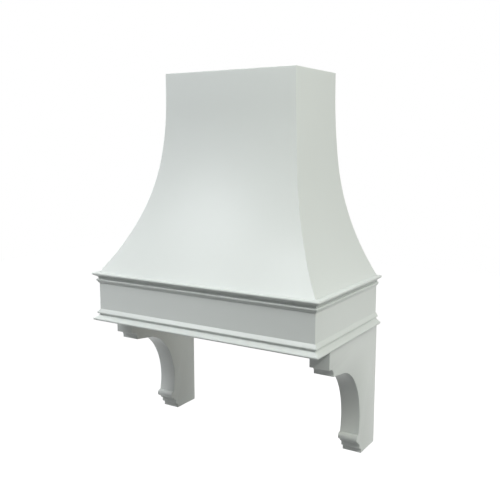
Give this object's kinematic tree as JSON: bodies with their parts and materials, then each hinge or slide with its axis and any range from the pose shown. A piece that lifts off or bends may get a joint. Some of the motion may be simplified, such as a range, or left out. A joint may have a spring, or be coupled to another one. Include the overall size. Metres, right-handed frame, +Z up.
{
  "type": "range hood cover",
  "caption": "Wall-mounted painted wooden range hood cover with a flared body, a straight apron between mitred mouldings, and arched corbels below.",
  "frame": {"origin": "middle of the hood's underside at the wall: the lower edge of the back rail's wall face", "axes": "+Z up, +Y into the wall, +X to the right for someone facing the hood"},
  "size_m": [0.955, 0.5238, 1.39],
  "materials": {
    "painted_wood": "satin pale grey-green paint",
    "birch_plywood": "bare sanded plywood",
    "poplar": "bare planed timber",
    "zinc_steel": "zinc plated"
  },
  "bodies": {
    "root": {"apron_front": "painted_wood", "apron_left": "painted_wood", "apron_right": "painted_wood", "back_ledger": "poplar", "corbel_screws": "zinc_steel", "deck_rail_back": "birch_plywood", "deck_rail_front": "birch_plywood", "deck_rail_left": "birch_plywood", "deck_rail_right": "birch_plywood", "front_ledger": "poplar", "front_panel": "painted_wood", "hanging_rail": "birch_plywood", "keyhole_plates": "zinc_steel", "left_back_stile": "poplar", "left_corbel": "painted_wood", "left_corner_block": "poplar", "left_front_jack_rib": "poplar", "left_front_rib": "poplar", "left_hip_post": "poplar", "left_ledger": "poplar", "left_side_jack_rib": "poplar", "left_side_panel": "painted_wood", "left_side_rib": "poplar", "lower_back_rail": "birch_plywood", "lower_moulding_front": "painted_wood", "lower_moulding_left": "painted_wood", "lower_moulding_right": "painted_wood", "mitre_splines": "poplar", "right_back_stile": "poplar", "right_corbel": "painted_wood", "right_corner_block": "poplar", "right_front_jack_rib": "poplar", "right_front_rib": "poplar", "right_hip_post": "poplar", "right_ledger": "poplar", "right_side_jack_rib": "poplar", "right_side_panel": "painted_wood", "right_side_rib": "poplar", "soffit_rail_back": "painted_wood", "soffit_rail_front": "painted_wood", "soffit_rail_left": "painted_wood", "soffit_rail_right": "painted_wood", "top_frame_screws": "zinc_steel", "top_rail_back": "birch_plywood", "top_rail_front": "birch_plywood", "top_rail_left": "birch_plywood", "top_rail_right": "birch_plywood", "upper_moulding_front": "painted_wood", "upper_moulding_left": "painted_wood", "upper_moulding_right": "painted_wood", "wall_cleat": "birch_plywood"}
  },
  "joints": []
}
